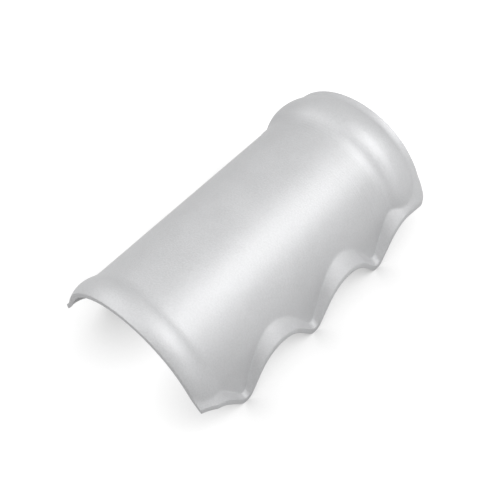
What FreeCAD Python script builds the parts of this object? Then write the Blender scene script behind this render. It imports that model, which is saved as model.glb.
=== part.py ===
import FreeCAD, Part
import math
import os
from FreeCAD import Vector

# Roof ridge cap: a half-round moulded cap that covers the ridge of a roof of waved sheets.
# A barrel runs along the ridge (Y). Its near end (-Y) carries a rolled bead, and its far end (+Y)
# opens into a socket bell that laps over the next cap. Straight skirts leave the barrel on both
# sides and turn out into waved aprons. Their hoods sit on the crests of the roof sheets, and their
# tips reach down into the valleys. The origin lies on the floor under the middle of the cap.

# Driving dimensions, in millimetres and degrees

# cover along the ridge
wave_count = 3
wave_pitch = 130.0
lap_length = 45.0
wall = 6.0

# barrel
barrel_radius = 111.0
barrel_half_angle = 82.0
axis_above_tips = 32.5

# aprons, measured square to the slope of the roof
roof_slope = 44.0
wave_height = 36.5
wave_flank = 44.0
tip_radius = 9.0
first_crest = 2.0

# mouth edge of the aprons in plan
mouth_half_width = 123.5
mouth_splay = 0.6
corner_trim = 6.0
corner_trim_length = 21.0
end_corner_radius = 16.0

# rolled bead of the near end
nose_radius = 36.0
nose_turn = 28.0
bead_shoulder = 27.0
bead_step = 5.0
bead_hollow_share = 0.45

# socket bell of the far end
socket_shoulder = 25.0
socket_step = 10.5
socket_hollow_share = 0.36
socket_dip_run = 33.0
socket_dip = 8.5
dip_hollow_share = 0.2
flare_radius = 60.0
flare_turn = 6.0

# how far cutting blocks run past what they cut
clearance = 60.0

cap_length = wave_count * wave_pitch + lap_length
near_end = -cap_length / 2.0
far_end = cap_length / 2.0
last_crest = near_end + first_crest + wave_count * wave_pitch
run_on = 2.0 * wall
reach = barrel_radius + axis_above_tips + clearance


def ogee(run, rise, hollow_share):
    """Two tangent arcs that climb `rise` over `run`, each as (radius, turn).

    The arc at the foot is hollow and takes `hollow_share` of the run; the arc at the top is crowned.
    """
    half_turn = 2.0 * math.atan(abs(rise) / run)
    hollow_radius = run * hollow_share / math.sin(half_turn)
    crown_radius = run * (1.0 - hollow_share) / math.sin(half_turn)
    turn = math.degrees(half_turn)
    if rise < 0.0:
        return [(crown_radius, -turn), (hollow_radius, turn)]
    return [(hollow_radius, turn), (crown_radius, -turn)]


def trace(start, heading, moves, inset):
    """Path of tangent lines and arcs in the (along, up) plane, drawn `inset` below its line of travel.

    A move is (length, 0) for a line or (radius, turn) for an arc, and a left turn is positive.
    Each span that comes back is (three points, turn): the start, middle and end of a move.
    """
    along, up = start
    spans = []
    for size, turn in moves:
        begin = math.radians(heading)
        side = math.copysign(size, turn)
        points = []
        for share in (0.0, 0.5, 1.0):
            swing = math.radians(heading + share * turn)
            if turn == 0.0:
                here = (along + share * size * math.cos(begin), up + share * size * math.sin(begin))
            else:
                here = (along + side * (math.sin(swing) - math.sin(begin)),
                        up + side * (math.cos(begin) - math.cos(swing)))
            points.append((here[0] + inset * math.sin(swing), here[1] - inset * math.cos(swing)))
        spans.append((points, turn))
        along, up = here
        heading += turn
    return spans


def edges_of(spans, place):
    """Edges of a traced path, where `place` turns (along, up) into a point in space."""
    edges = []
    for points, turn in spans:
        first, middle, last = (place(*point) for point in points)
        curve = Part.LineSegment(first, last) if turn == 0.0 else Part.Arc(first, middle, last)
        edges.append(curve.toShape())
    return edges


def closed_face(edges, corners):
    """Flat face inside `edges` and the straight lines that join `corners` one after the other."""
    lines = [Part.LineSegment(a, b).toShape() for a, b in zip(corners, corners[1:])]
    return Part.Face(Part.Wire(Part.__sortEdges__(edges + lines)))


def band_face(outer, inner, place):
    """Flat face of the wall between two traced paths that run side by side."""
    edges = edges_of(outer, place) + edges_of(inner, place)
    for index, point in ((0, 0), (-1, 2)):
        corners = [place(*path[index][0][point]) for path in (outer, inner)]
        edges.append(Part.LineSegment(*corners).toShape())
    return Part.Face(Part.Wire(Part.__sortEdges__(edges)))


def face_beyond(path, place, level, overrun=0.0):
    """Flat face from a traced path across to a straight line at `level`, run on past both ends."""
    first = path[0][0][0]
    last = path[-1][0][2]
    corners = [last, (last[0] + overrun, last[1]), (last[0] + overrun, level),
               (first[0] - overrun, level), (first[0] - overrun, first[1]), first]
    if overrun == 0.0:
        corners = [last, (last[0], level), (first[0], level), first]
    return closed_face(edges_of(path, place), [place(*corner) for corner in corners])


def bell_path(inset):
    """Wall line along the ridge: bead at the near end, plain barrel, socket bell at the far end.

    The line runs on past both ends of the cap.
    """
    nose = math.radians(nose_turn)
    bead_length = nose_radius * math.sin(nose) + bead_shoulder
    socket_length = socket_shoulder + socket_dip_run + flare_radius * math.sin(math.radians(flare_turn))
    moves = [(run_on, 0.0), (nose_radius, -nose_turn)]
    moves += ogee(bead_shoulder, -bead_step, bead_hollow_share)
    moves += [(cap_length - bead_length - socket_length, 0.0)]
    moves += ogee(socket_shoulder, socket_step, socket_hollow_share)
    moves += ogee(socket_dip_run, -socket_dip, dip_hollow_share)
    moves += [(flare_radius, flare_turn), (run_on, 0.0)]
    drop = nose_radius * (1.0 - math.cos(nose)) + run_on * math.sin(nose)
    start = (near_end - run_on * math.cos(nose), barrel_radius + bead_step - drop)
    return trace(start, nose_turn, moves, inset)


def at_angle(degrees):
    """Placement of the wall line in the half-plane that leans `degrees` from the top of the barrel."""
    lean = math.radians(degrees)

    def place(along, out):
        return Vector(out * math.sin(lean), along, out * math.cos(lean))

    return place


def turned_and_dropped(face_at):
    """Solid that a face sweeps round the barrel, then straight on down both skirts."""
    lean = math.radians(barrel_half_angle)
    solid = face_at(at_angle(-barrel_half_angle)).revolve(Vector(0, 0, 0), Vector(0, 1, 0), 2.0 * barrel_half_angle)
    skirts = []
    for side in (-1, 1):
        down = Vector(side * math.cos(lean), 0, -math.sin(lean))
        skirts.append(face_at(at_angle(side * barrel_half_angle)).extrude(down * reach))
    return solid.fuse(skirts)


def barrel_and_skirts():
    """Wall of the barrel with its bells, carried on down as two straight skirts."""
    return turned_and_dropped(lambda place: band_face(bell_path(0.0), bell_path(wall), place))


def hollow():
    """Space inside the cap, under the barrel and between the skirts."""
    return turned_and_dropped(lambda place: face_beyond(bell_path(wall), place, 0.0, clearance))


def wave_path(inset):
    """Line of the apron across the slope: whole waves from the first crest on, level at both ends."""
    flank = math.radians(wave_flank)
    half_run = wave_pitch / 2.0 - tip_radius * math.sin(flank)
    drop = wave_height - tip_radius * (1.0 - math.cos(flank))
    # the crest arc and the straight flank fill the half pitch and the height together
    crest_radius = (half_run * math.sin(flank) - drop * math.cos(flank)) / (1.0 - math.cos(flank))
    flank_length = (half_run - crest_radius * math.sin(flank)) / math.cos(flank)
    wave = [(crest_radius, -wave_flank), (flank_length, 0.0), (tip_radius, 2.0 * wave_flank),
            (flank_length, 0.0), (crest_radius, -wave_flank)]
    moves = [(first_crest + clearance, 0.0)] + wave * wave_count + [(far_end - last_crest + clearance, 0.0)]
    return trace((near_end - clearance, wave_height), 0.0, moves, inset)


def on_slope(side, back):
    """Placement of the waves square to the roof, `back` up the slope from the mouth edge."""
    slope = math.radians(roof_slope)
    down_slope = Vector(side * math.cos(slope), 0, -math.sin(slope))
    off_slope = Vector(side * math.sin(slope), 0, math.cos(slope))
    start = Vector(side * mouth_half_width, 0, -axis_above_tips) - down_slope * back

    def place(along, up):
        return start + off_slope * up + Vector(0, along, 0)

    return place, down_slope


def splayed(solid, side):
    """The same solid, turned so that its far end stands further out."""
    solid.rotate(Vector(side * mouth_half_width, 0, 0), Vector(0, 0, 1), -side * mouth_splay)
    return solid


def apron(side):
    """Waved sheet along the roof slope, from inside the skirt to past the mouth edge."""
    place, down_slope = on_slope(side, barrel_radius)
    sheet = band_face(wave_path(0.0), wave_path(wall), place)
    return splayed(sheet.extrude(down_slope * (barrel_radius + clearance)), side)


def roof_under(side):
    """Space below the apron, where the barrel and the skirt stop."""
    place, down_slope = on_slope(side, barrel_radius)
    face = face_beyond(wave_path(wall), place, -reach)
    return splayed(face.extrude(down_slope * (barrel_radius + reach)), side)


def footprint():
    """Upright block with the cap's outline in plan."""
    widening = math.tan(math.radians(mouth_splay))
    right = [(near_end, corner_trim), (near_end + corner_trim_length, 0.0), (far_end, 0.0)]
    outline = [Vector(mouth_half_width + y * widening - trim, y, -reach) for y, trim in right]
    outline += [Vector(-point.x, point.y, point.z) for point in reversed(outline)]
    block = Part.Face(Part.makePolygon(outline + outline[:1])).extrude(Vector(0, 0, 2.0 * reach))
    corners = [edge for edge in block.Edges
               if edge.BoundBox.YLength < 1.0 and edge.BoundBox.XLength < 1.0 and edge.BoundBox.YMax > far_end - 1.0]
    return block.makeFillet(end_corner_radius, corners)


def ridge_cap():
    """The whole cap as one solid, standing on its tips."""
    shell = barrel_and_skirts().cut([roof_under(-1), roof_under(1)])
    inside = hollow()
    body = shell.fuse([apron(side).cut(inside) for side in (-1, 1)])
    body = body.common(footprint()).removeSplitter()
    body.translate(Vector(0, 0, axis_above_tips + wall / math.cos(math.radians(roof_slope))))
    return body


os.makedirs("parts", exist_ok=True)
cap = ridge_cap()
cap.exportStep("parts/ridge_cap.step")
print("solids", len(cap.Solids), "valid", cap.isValid(), "volume", round(cap.Volume))
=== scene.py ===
"""Roof ridge cap: one moulded piece in satin silver grey, on a white studio floor.

The cap's two skins are polar surfaces about the axis of its barrel. Each is worked out as one
numpy grid of rows across the ridge, whose columns run from the crown over the crease of the hoods
to the mouth edge. A rim closes the wall between the two skins all round.
"""
import math
import bpy
import numpy as np
from mathutils import Matrix, Vector


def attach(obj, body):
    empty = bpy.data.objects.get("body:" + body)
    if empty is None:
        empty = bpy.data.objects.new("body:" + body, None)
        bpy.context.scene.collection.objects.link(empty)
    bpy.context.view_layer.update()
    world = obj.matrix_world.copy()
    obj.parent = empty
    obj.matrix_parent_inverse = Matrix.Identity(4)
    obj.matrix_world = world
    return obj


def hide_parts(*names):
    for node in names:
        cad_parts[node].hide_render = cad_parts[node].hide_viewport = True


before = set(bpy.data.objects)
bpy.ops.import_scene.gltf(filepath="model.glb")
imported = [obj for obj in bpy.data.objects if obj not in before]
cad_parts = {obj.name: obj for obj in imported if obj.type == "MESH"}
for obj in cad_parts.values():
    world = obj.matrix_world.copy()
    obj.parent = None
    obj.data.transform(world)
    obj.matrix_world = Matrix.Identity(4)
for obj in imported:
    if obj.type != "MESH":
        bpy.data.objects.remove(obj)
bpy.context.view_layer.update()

MM = 0.001

# The cap's driving dimensions, in millimetres and degrees
WAVE_COUNT = 3
WAVE_PITCH = 130.0
LAP_LENGTH = 45.0
WALL = 6.0
BARREL_RADIUS = 111.0
BARREL_HALF_ANGLE = 82.0
AXIS_ABOVE_TIPS = 32.5
ROOF_SLOPE = 44.0
WAVE_HEIGHT = 36.5
WAVE_FLANK = 44.0
TIP_RADIUS = 9.0
FIRST_CREST = 2.0
MOUTH_HALF_WIDTH = 123.5
MOUTH_SPLAY = 0.6
CORNER_TRIM = 6.0
CORNER_TRIM_LENGTH = 21.0
END_CORNER_RADIUS = 16.0
NOSE_RADIUS = 36.0
NOSE_TURN = 28.0
BEAD_SHOULDER = 27.0
BEAD_STEP = 5.0
BEAD_HOLLOW_SHARE = 0.45
SOCKET_SHOULDER = 25.0
SOCKET_STEP = 10.5
SOCKET_DIP_RUN = 33.0
SOCKET_DIP = 8.5
DIP_HOLLOW_SHARE = 0.2
FLARE_RADIUS = 60.0
FLARE_TURN = 6.0

# Fillets of the moulding, in millimetres: in the hoods' creases, the wider one where the bead and
# the bell run out over the corners, the least one, and the lengths of the near and far corners
CREASE_REACH = 1.6
CORNER_REACH = 9.0
LEAST_REACH = 0.01
NEAR_CORNER_LENGTH = 32.0
FAR_CORNER_LENGTH = 55.0

# Share of the apron's width that a fillet may take, along the hoods and at the corners
CREASE_WIDTH_SHARE = 0.25
CORNER_WIDTH_SHARE = 2.0 / 3.0

# Rounding of the rims in millimetres, its segments, and the least angle in degrees that is rounded
RIM_ROUNDING = 0.9
RIM_SEGMENTS = 3
RIM_ANGLE = 50.0

# How much earlier the socket bell's shoulder starts, in millimetres, and its hollow arc's share
SHOULDER_EASE = 11.0
EASED_HOLLOW_SHARE = 0.5

# Rolled lip of the hoods' mouth edge, how much further the far corners hang, in millimetres, and
# the power by which both grow from the crease to the mouth edge
LIP_ROLL = 1.2
CORNER_HANG = 6.5
HANG_POWER = 2.5

# Rows along the ridge, columns from crown to crease and from crease to mouth edge, the powers by
# which the columns close up towards the crease, and the points that an arc is traced with
ROWS = 280
BARREL_COLUMNS = 42
APRON_COLUMNS = 26
BARREL_CLOSING = 1.5
APRON_CLOSING = 1.3
ARC_POINTS = 25

CAP_LENGTH = WAVE_COUNT * WAVE_PITCH + LAP_LENGTH
NEAR_END = -CAP_LENGTH / 2.0
FAR_END = CAP_LENGTH / 2.0
LAST_CREST = NEAR_END + FIRST_CREST + WAVE_COUNT * WAVE_PITCH
SLOPE = math.radians(ROOF_SLOPE)
AXIS_HEIGHT = AXIS_ABOVE_TIPS + WALL / math.cos(SLOPE)
RUN_ON = 2.0 * WALL

# Photograph's frame and the camera that was fitted to it, in pixels, degrees and metres
FRAME_PIXELS = 500.0
CAMERA_AZIMUTH = 45.84
CAMERA_ELEVATION = 51.69
CAMERA_ROLL = -5.62
CAMERA_DISTANCE = 1.0983
CAMERA_FOCUS_PIXELS = 875.7
CAMERA_TARGET = (0.01931, -0.02186, 0.08656)
SENSOR_MILLIMETRES = 36.0

# Softboxes: name, azimuth from +Y towards +X and elevation in degrees, distance, width and height
# in metres, and power in watts
SOFTBOXES = [
    ("key_softbox", 57.0, 52.0, 1.6, 1.1, 0.9, 13.0),
    ("high_softbox", 90.0, 68.0, 1.6, 0.9, 0.9, 4.0),
    ("side_softbox", 90.0, 20.0, 1.6, 1.2, 0.6, 2.6),
    ("fill_softbox", 228.0, 45.0, 1.6, 2.4, 1.4, 15.5),
]
SKY_LIGHT = 0.1

# Floor: half its side and the reach of the shadow painted into its glow around the cap in metres, its own
# tone, and its glow
FLOOR_HALF = 6.0
PAINTED_SHADOW_REACH = 0.12
FLOOR_TONE = (0.2, 0.2, 0.2, 1.0)
FLOOR_GLOW = 0.97

# Finish: how fine the grain and the cloud are (per metre), the darkest and lightest silver, and how
# much of the way between them the cloud, the grain and the draw lines take
GRAIN_SCALE = 450.0
CLOUD_SCALE = 16.0
DARK_SILVER = (0.52, 0.523, 0.531, 1.0)
LIGHT_SILVER = (0.62, 0.623, 0.632, 1.0)
CLOUD_TONE = 0.35
GRAIN_TONE = 0.65
LINE_TONE = 0.15

# Roughness from cloud to cloud and its change by the grain, metallic share, and relief in metres
ROUGHNESS = (0.47, 0.52)
GRAIN_ROUGHNESS = 0.06
METALLIC = 0.3
GRAIN_HEIGHT = 0.00035
LINE_HEIGHT = 0.00006

# Draw lines: how fine they are in X, Y and Z (per metre), and where along the ridge they rise and
# fall away (metres)
LINE_SCALE = (6.0, 480.0, 6.0)
LINES_RISE = (0.085, 0.135)
LINES_FALL = (0.153, 0.165)

# Ranges of a noise texture that are spread out, for the cloud, the grain and the draw lines
CLOUD_RANGE = (0.3, 0.7)
GRAIN_RANGE = (0.25, 0.75)
LINE_RANGE = (0.35, 0.65)


def ogee(run, rise, hollow_share):
    """Two tangent arcs that climb `rise` over `run`, each as (radius, turn).

    The arc at the foot is hollow and takes `hollow_share` of the run; the arc at the top is crowned.
    """
    half_turn = 2.0 * math.atan(abs(rise) / run)
    hollow_radius = run * hollow_share / math.sin(half_turn)
    crown_radius = run * (1.0 - hollow_share) / math.sin(half_turn)
    turn = math.degrees(half_turn)
    if rise < 0.0:
        return [(crown_radius, -turn), (hollow_radius, turn)]
    return [(hollow_radius, turn), (crown_radius, -turn)]


def traced_line(start, heading, moves, inset):
    """Points of a path of tangent lines and arcs, `inset` below its line of travel.

    Along an arc the heading h turns evenly and the point is centre + radius * (sin h, -cos h);
    the inset point lies at the same heading, moved by inset * (sin h, -cos h).
    """
    along, up = start
    lines = []
    for size, turn in moves:
        share = np.linspace(0.0, 1.0, 2 if turn == 0.0 else ARC_POINTS)
        begin = math.radians(heading)
        swing = np.radians(heading + share * turn)
        side = math.copysign(size, turn)
        if turn == 0.0:
            line_along = along + share * size * math.cos(begin)
            line_up = up + share * size * math.sin(begin)
        else:
            line_along = along + side * (np.sin(swing) - math.sin(begin))
            line_up = up + side * (math.cos(begin) - np.cos(swing))
        lines.append(np.stack([line_along + inset * np.sin(swing), line_up - inset * np.cos(swing)]))
        along, up = line_along[-1], line_up[-1]
        heading += turn
    return np.concatenate(lines, axis=1)


def bell_line(inset):
    """Radius of the barrel's wall along the ridge: bead, plain barrel and socket bell.

    It is a chain of tangent lines and arcs that runs on past both ends of the cap.
    """
    nose = math.radians(NOSE_TURN)
    bead_length = NOSE_RADIUS * math.sin(nose) + BEAD_SHOULDER
    shoulder = SOCKET_SHOULDER + SHOULDER_EASE
    socket_length = shoulder + SOCKET_DIP_RUN + FLARE_RADIUS * math.sin(math.radians(FLARE_TURN))
    moves = [(RUN_ON, 0.0), (NOSE_RADIUS, -NOSE_TURN)]
    moves += ogee(BEAD_SHOULDER, -BEAD_STEP, BEAD_HOLLOW_SHARE)
    moves += [(CAP_LENGTH - bead_length - socket_length, 0.0)]
    moves += ogee(shoulder, SOCKET_STEP, EASED_HOLLOW_SHARE)
    moves += ogee(SOCKET_DIP_RUN, -SOCKET_DIP, DIP_HOLLOW_SHARE)
    moves += [(FLARE_RADIUS, FLARE_TURN), (RUN_ON, 0.0)]
    drop = NOSE_RADIUS * (1.0 - math.cos(nose)) + RUN_ON * math.sin(nose)
    start = (NEAR_END - RUN_ON * math.cos(nose), BARREL_RADIUS + BEAD_STEP - drop)
    return traced_line(start, NOSE_TURN, moves, inset)


def wave_line(inset):
    """Height of the apron off the roof slope along the ridge: crest arc, flank, tip arc, and so on."""
    flank = math.radians(WAVE_FLANK)
    half_run = WAVE_PITCH / 2.0 - TIP_RADIUS * math.sin(flank)
    drop = WAVE_HEIGHT - TIP_RADIUS * (1.0 - math.cos(flank))
    crest_radius = (half_run * math.sin(flank) - drop * math.cos(flank)) / (1.0 - math.cos(flank))
    flank_length = (half_run - crest_radius * math.sin(flank)) / math.cos(flank)
    wave = [(crest_radius, -WAVE_FLANK), (flank_length, 0.0), (TIP_RADIUS, 2.0 * WAVE_FLANK),
            (flank_length, 0.0), (crest_radius, -WAVE_FLANK)]
    moves = [(FIRST_CREST + RUN_ON, 0.0)] + wave * WAVE_COUNT + [(FAR_END - LAST_CREST + RUN_ON, 0.0)]
    return traced_line((NEAR_END - RUN_ON, WAVE_HEIGHT), 0.0, moves, inset)


def soft_max(a, b, reach):
    """Larger of two surfaces, blended by a parabola where they are closer than `reach`."""
    blend = np.maximum(reach - np.abs(a - b), 0.0)
    return np.maximum(a, b) + blend * blend / (4.0 * reach)


def mouth_at(y):
    """Half width of the cap along the ridge: a straight splay, less a straight cut at the near
    corners and a quarter circle at the far ones.
    """
    plain = MOUTH_HALF_WIDTH + y * math.tan(math.radians(MOUTH_SPLAY))
    near_cut = CORNER_TRIM * np.clip((NEAR_END + CORNER_TRIM_LENGTH - y) / CORNER_TRIM_LENGTH, 0.0, 1.0)
    past = np.clip(y - (FAR_END - END_CORNER_RADIUS), 0.0, END_CORNER_RADIUS)
    rounding = END_CORNER_RADIUS - np.sqrt(END_CORNER_RADIUS ** 2 - past ** 2)
    return plain - near_cut - rounding


def smooth_step(way, length):
    """Smooth step s * s * (3 - 2 s), from 0 to 1 while `way` runs from 0 to `length`."""
    share = np.clip(way / length, 0.0, 1.0)
    return share * share * (3.0 - 2.0 * share)


def far_share(y):
    """0 along the ridge as far as the far corners, and 1 at their end."""
    return smooth_step(y - FAR_END + FAR_CORNER_LENGTH, FAR_CORNER_LENGTH)


def near_share(y):
    """1 at the near end, and 0 past the near corners."""
    return smooth_step(NEAR_END + NEAR_CORNER_LENGTH - y, NEAR_CORNER_LENGTH)


def edge_hang(y):
    """How far the mouth edge hangs along the ridge: by the waves' height, and more at the far corners."""
    lip = LIP_ROLL * np.clip(np.interp(y, *wave_line(0.0)) / WAVE_HEIGHT, 0.0, 1.0)
    return lip + CORNER_HANG * far_share(y)


def skin(y, inset):
    """Right half of a skin: rows across the ridge, whose columns run crown, crease, mouth edge.

    In a section across the ridge the barrel is r = R, the skirt is r = R / cos(a - A) past its
    angle A, and the apron is the line r = d / cos(a - slope). The skin is the larger of them, with
    a small blend at the crease, and the columns close up towards the crease from both sides. The
    apron sinks by `edge_hang` times a power of the share of the way from crease to mouth edge.
    """
    side = math.radians(BARREL_HALF_ANGLE)
    radius = np.interp(y, *bell_line(inset))
    splay = y * math.tan(math.radians(MOUTH_SPLAY))
    offset = (MOUTH_HALF_WIDTH + splay) * math.sin(SLOPE) - AXIS_ABOVE_TIPS * math.cos(SLOPE)
    offset = offset + np.interp(y, *wave_line(inset))
    mouth = mouth_at(y)
    last = np.arctan2(mouth, (offset - mouth * math.sin(SLOPE)) / math.cos(SLOPE))
    on_barrel = SLOPE + np.arccos(np.clip(offset / radius, -1.0, 1.0))
    on_skirt = np.arctan2(radius * math.cos(SLOPE) - offset * math.cos(side),
                          offset * math.sin(side) - radius * math.sin(SLOPE))
    meet = np.minimum(np.where(on_barrel < side, on_barrel, on_skirt), last)
    rise = 1.0 - (1.0 - np.linspace(0.0, 1.0, BARREL_COLUMNS)) ** BARREL_CLOSING
    spread = np.linspace(0.0, 1.0, APRON_COLUMNS)[1:] ** APRON_CLOSING
    shares = np.concatenate([np.zeros(BARREL_COLUMNS), spread])
    angle = np.concatenate([meet[:, None] * rise, meet[:, None] + (last - meet)[:, None] * spread], axis=1)
    shell = radius[:, None] / np.cos(np.maximum(angle - side, 0.0))
    apron = offset[:, None] / np.cos(np.maximum(angle - SLOPE, 0.0))
    width = (last - meet) * radius
    corner = far_share(y) + near_share(y)
    along_hoods = np.minimum(CREASE_REACH, width * CREASE_WIDTH_SHARE)
    at_corners = np.minimum(CORNER_REACH, width * CORNER_WIDTH_SHARE)
    reach = (along_hoods * (1.0 - corner) + at_corners * corner + LEAST_REACH)[:, None]
    out = soft_max(shell, apron, reach)
    height = out * np.cos(angle) + AXIS_HEIGHT - edge_hang(y)[:, None] * shares ** HANG_POWER
    return np.stack([out * np.sin(angle), np.broadcast_to(y[:, None], out.shape), height], axis=-1)


def both_sides(half):
    """Whole skin from its right half, mirrored across the ridge; the crown line is shared."""
    left = half[:, :0:-1].copy()
    left[..., 0] *= -1.0
    return np.concatenate([left, half], axis=1)


def quads(a, b, c, d):
    """Four-cornered faces from four equal arrays of corners."""
    return np.stack([a, b, c, d], axis=-1).reshape(-1, 4)


def cap_mesh():
    """Closed mesh of the cap: outer skin, inner skin, and a rim that joins them all round."""
    y = np.linspace(NEAR_END, FAR_END, ROWS)
    outer = both_sides(skin(y, 0.0))
    inner = both_sides(skin(y, WALL))
    points = np.concatenate([outer.reshape(-1, 3), inner.reshape(-1, 3)]) * MM
    rows, columns = outer.shape[:2]
    top = np.arange(rows * columns).reshape(rows, columns)
    low = top + rows * columns
    faces = [quads(top[:-1, :-1], top[:-1, 1:], top[1:, 1:], top[1:, :-1]),
             quads(low[:-1, :-1], low[1:, :-1], low[1:, 1:], low[:-1, 1:]),
             quads(top[:-1, 0], top[1:, 0], low[1:, 0], low[:-1, 0]),
             quads(top[:-1, -1], low[:-1, -1], low[1:, -1], top[1:, -1]),
             quads(top[0, :-1], low[0, :-1], low[0, 1:], top[0, 1:]),
             quads(top[-1, :-1], top[-1, 1:], low[-1, 1:], low[-1, :-1])]
    mesh = bpy.data.meshes.new("ridge_cap_skin")
    mesh.from_pydata(points.tolist(), [], np.concatenate(faces).tolist())
    mesh.update()
    return mesh


def node(tree, kind, **inputs):
    """New node with values or other nodes' outputs on its named inputs."""
    made = tree.nodes.new(kind)
    for name, value in inputs.items():
        socket = made.inputs[name.replace("_", " ")]
        if isinstance(value, bpy.types.NodeSocket):
            tree.links.new(value, socket)
        else:
            socket.default_value = value
    return made


def spread_over(tree, value, span, low, high):
    """Value carried smoothly from the two ends of `span` to `low` and `high`."""
    ramp = node(tree, "ShaderNodeMapRange", Value=value, From_Min=span[0], From_Max=span[1],
                To_Min=low, To_Max=high)
    ramp.interpolation_type = "SMOOTHSTEP"
    return ramp.outputs["Result"]


def combined(tree, operation, a, b):
    """Sum, difference, product or larger of two values."""
    maths = tree.nodes.new("ShaderNodeMath")
    maths.operation = operation
    for socket, value in zip(maths.inputs, (a, b)):
        if isinstance(value, bpy.types.NodeSocket):
            tree.links.new(value, socket)
        else:
            socket.default_value = value
    return maths.outputs["Value"]


def draw_lines(tree, place):
    """Fine lines round the barrel where the socket bell was drawn: noise stretched round the ridge,
    faded in and out along Y.
    """
    stretch = node(tree, "ShaderNodeMapping", Vector=place, Scale=LINE_SCALE)
    noise = node(tree, "ShaderNodeTexNoise", Vector=stretch.outputs["Vector"], Scale=1.0, Detail=1.5)
    lines = spread_over(tree, noise.outputs["Fac"], LINE_RANGE, 0.0, 1.0)
    along = node(tree, "ShaderNodeSeparateXYZ", Vector=place).outputs["Y"]
    rising = spread_over(tree, along, LINES_RISE, 0.0, 1.0)
    falling = spread_over(tree, along, LINES_FALL, 1.0, 0.0)
    return combined(tree, "MULTIPLY", lines, combined(tree, "MULTIPLY", rising, falling))


def moulded_silver():
    """Satin silver grey of the moulded cap.

    A fine grain of about two millimetres and less breaks up the gloss, a slow cloud varies the tone
    and the gloss from place to place, and draw lines run round the barrel before the socket bell.
    """
    material = bpy.data.materials.new("moulded_silver_grey")
    material.use_nodes = True
    tree = material.node_tree
    shader = tree.nodes["Principled BSDF"]
    place = tree.nodes.new("ShaderNodeTexCoord").outputs["Object"]
    grain = node(tree, "ShaderNodeTexNoise", Vector=place, Scale=GRAIN_SCALE, Detail=3.0, Roughness=0.7)
    grain = grain.outputs["Fac"]
    cloud = node(tree, "ShaderNodeTexNoise", Vector=place, Scale=CLOUD_SCALE, Detail=3.0).outputs["Fac"]
    lines = draw_lines(tree, place)

    tone = combined(tree, "ADD", spread_over(tree, cloud, CLOUD_RANGE, 0.0, CLOUD_TONE),
                    spread_over(tree, grain, GRAIN_RANGE, 0.0, GRAIN_TONE))
    tone = combined(tree, "SUBTRACT", tone, combined(tree, "MULTIPLY", lines, LINE_TONE))
    silver = node(tree, "ShaderNodeValToRGB", Fac=tone)
    silver.color_ramp.elements[0].color = DARK_SILVER
    silver.color_ramp.elements[1].color = LIGHT_SILVER
    tree.links.new(silver.outputs["Color"], shader.inputs["Base Color"])

    roughness = combined(tree, "ADD", spread_over(tree, cloud, CLOUD_RANGE, *ROUGHNESS),
                         spread_over(tree, grain, GRAIN_RANGE, -GRAIN_ROUGHNESS, GRAIN_ROUGHNESS))
    tree.links.new(roughness, shader.inputs["Roughness"])
    shader.inputs["Metallic"].default_value = METALLIC

    grained = node(tree, "ShaderNodeBump", Height=grain, Strength=1.0, Distance=GRAIN_HEIGHT)
    lined = node(tree, "ShaderNodeBump", Height=lines, Strength=1.0, Distance=LINE_HEIGHT,
                 Normal=grained.outputs["Normal"])
    tree.links.new(lined.outputs["Normal"], shader.inputs["Normal"])
    return material


def seen_as_background(tree):
    """1 for the rays that show the background: camera, glossy and transmission rays."""
    path = tree.nodes.new("ShaderNodeLightPath")
    direct = combined(tree, "MAXIMUM", path.outputs["Is Camera Ray"], path.outputs["Is Glossy Ray"])
    return combined(tree, "MAXIMUM", direct, path.outputs["Is Transmission Ray"])


def studio_floor():
    """White floor whose glow is darkened near the cap by ambient occlusion, a painted shadow, over the
    faint shadow the lamps cast on its paper; it throws little light back up.
    """
    mesh = bpy.data.meshes.new("studio_floor")
    corners = [(x * FLOOR_HALF, y * FLOOR_HALF, 0.0) for x, y in ((-1, -1), (1, -1), (1, 1), (-1, 1))]
    mesh.from_pydata(corners, [], [(0, 1, 2, 3)])
    floor = bpy.data.objects.new("studio_floor", mesh)
    bpy.context.scene.collection.objects.link(floor)
    material = bpy.data.materials.new("studio_white")
    material.use_nodes = True
    tree = material.node_tree
    paper = tree.nodes["Principled BSDF"]
    paper.inputs["Base Color"].default_value = FLOOR_TONE
    paper.inputs["Roughness"].default_value = 1.0
    paper.inputs["Specular IOR Level"].default_value = 0.0
    # Ambient occlusion dims the floor's glow near and under the cap: a painted shadow, seen by the camera
    # and in the cap's gloss
    shade = node(tree, "ShaderNodeAmbientOcclusion", Distance=PAINTED_SHADOW_REACH)
    lift = combined(tree, "MULTIPLY", shade.outputs["AO"], FLOOR_GLOW)
    painted_shadow_glow = combined(tree, "MULTIPLY", seen_as_background(tree), lift)
    glow = node(tree, "ShaderNodeEmission", Strength=painted_shadow_glow)
    both = tree.nodes.new("ShaderNodeAddShader")
    tree.links.new(paper.outputs["BSDF"], both.inputs[0])
    tree.links.new(glow.outputs["Emission"], both.inputs[1])
    tree.links.new(both.outputs["Shader"], tree.nodes["Material Output"].inputs["Surface"])
    mesh.materials.append(material)


def studio_world():
    """White surroundings, which light the cap with part of that strength."""
    world = bpy.data.worlds.new("studio_light")
    bpy.context.scene.world = world
    world.use_nodes = True
    tree = world.node_tree
    background = tree.nodes["Background"]
    background.inputs["Color"].default_value = (1.0, 1.0, 1.0, 1.0)
    level = spread_over(tree, seen_as_background(tree), (0.0, 1.0), SKY_LIGHT, 1.0)
    tree.links.new(level, background.inputs["Strength"])


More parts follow.
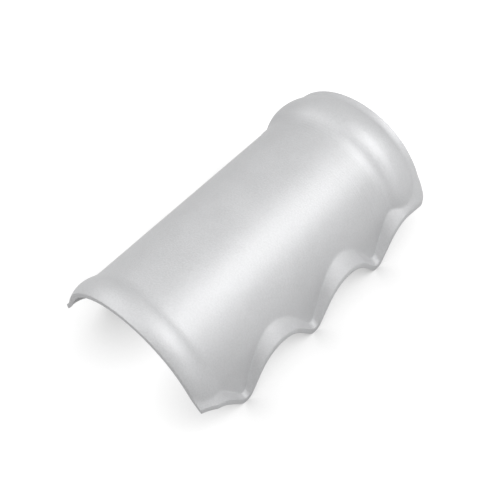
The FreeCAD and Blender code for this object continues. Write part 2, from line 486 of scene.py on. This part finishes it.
def softbox(name, azimuth, elevation, distance, width, height, power):
    """Rectangular softbox that faces the cap."""
    turn, lift = math.radians(azimuth), math.radians(elevation)
    towards = Vector((math.sin(turn) * math.cos(lift), math.cos(turn) * math.cos(lift), math.sin(lift)))
    place = towards * distance
    lamp = bpy.data.lights.new(name, "AREA")
    lamp.shape = "RECTANGLE"
    lamp.size, lamp.size_y = width, height
    lamp.energy = power
    box = bpy.data.objects.new(name, lamp)
    box.location = place
    box.rotation_euler = (-place).to_track_quat("-Z", "Y").to_euler()
    bpy.context.scene.collection.objects.link(box)


def camera():
    """Camera that was fitted to the photograph's outline of the cap."""
    azimuth = math.radians(CAMERA_AZIMUTH)
    elevation = math.radians(CAMERA_ELEVATION)
    roll = math.radians(CAMERA_ROLL)
    back = Vector((math.sin(azimuth) * math.cos(elevation), -math.cos(azimuth) * math.cos(elevation),
                   math.sin(elevation)))
    right = Vector((math.cos(azimuth), math.sin(azimuth), 0.0))
    up = back.cross(right)
    rolled_right = right * math.cos(roll) + up * math.sin(roll)
    rolled_up = up * math.cos(roll) - right * math.sin(roll)
    data = bpy.data.cameras.new("photo_camera")
    data.sensor_width = SENSOR_MILLIMETRES
    data.lens = CAMERA_FOCUS_PIXELS / FRAME_PIXELS * data.sensor_width
    obj = bpy.data.objects.new("photo_camera", data)
    turn = Matrix((rolled_right, rolled_up, back)).transposed().to_4x4()
    obj.matrix_world = Matrix.Translation(Vector(CAMERA_TARGET) + back * CAMERA_DISTANCE) @ turn
    bpy.context.scene.collection.objects.link(obj)
    bpy.context.scene.camera = obj


mesh = cap_mesh()
mesh.materials.append(moulded_silver())
mesh.shade_smooth()
cap = bpy.data.objects.new("cap_shell", mesh)
bpy.context.scene.collection.objects.link(cap)
rims = cap.modifiers.new("rounded_rims", "BEVEL")
rims.limit_method = "ANGLE"
rims.angle_limit = math.radians(RIM_ANGLE)
rims.width = RIM_ROUNDING * MM
rims.segments = RIM_SEGMENTS
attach(cap, "root")
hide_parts("ridge_cap")

studio_floor()
studio_world()
for box in SOFTBOXES:
    softbox(*box)
camera()
bpy.context.scene.view_settings.view_transform = "Standard"
